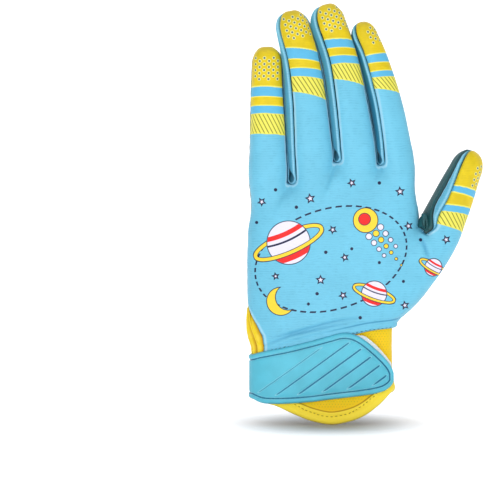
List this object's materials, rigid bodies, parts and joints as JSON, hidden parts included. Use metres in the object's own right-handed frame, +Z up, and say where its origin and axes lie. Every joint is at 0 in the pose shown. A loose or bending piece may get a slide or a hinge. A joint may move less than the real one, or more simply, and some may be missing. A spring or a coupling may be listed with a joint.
{
  "type": "football glove, left hand",
  "caption": "Receiver's football glove for a left hand, printed back, plain palm, stretch cuff with pull flap and a wrap-round wrist strap.",
  "frame": {"origin": "centre of the wrist opening, at the level of the strap's lower edge", "axes": "+Z up along the hand to the fingertips, +X to the thumb, -Y out of the back of the hand, the side that the picture shows"},
  "size_m": [0.1372, 0.0359, 0.2436],
  "materials": {
    "print_cloth": "sky-blue satin-faced stretch knit, printed",
    "grip_palm": "dark teal tacky silicone-coated synthetic, satin",
    "side_cloth": "sky-blue stretch knit, matt",
    "cuff_cloth": "yellow stretch knit, matt",
    "strap_rubber": "teal moulded soft rubber, satin",
    "hook_tape": "white hook tape, matt"
  },
  "bodies": {
    "root": {"back_of_hand": "print_cloth", "palm": "grip_palm", "strip_little_ring": "side_cloth", "strip_ring_middle": "side_cloth", "strip_middle_index": "side_cloth", "strip_thumb": "side_cloth", "cuff": "cuff_cloth", "gusset": "cuff_cloth", "closure_strap": "strap_rubber", "hook_patch": "hook_tape"}
  },
  "joints": []
}
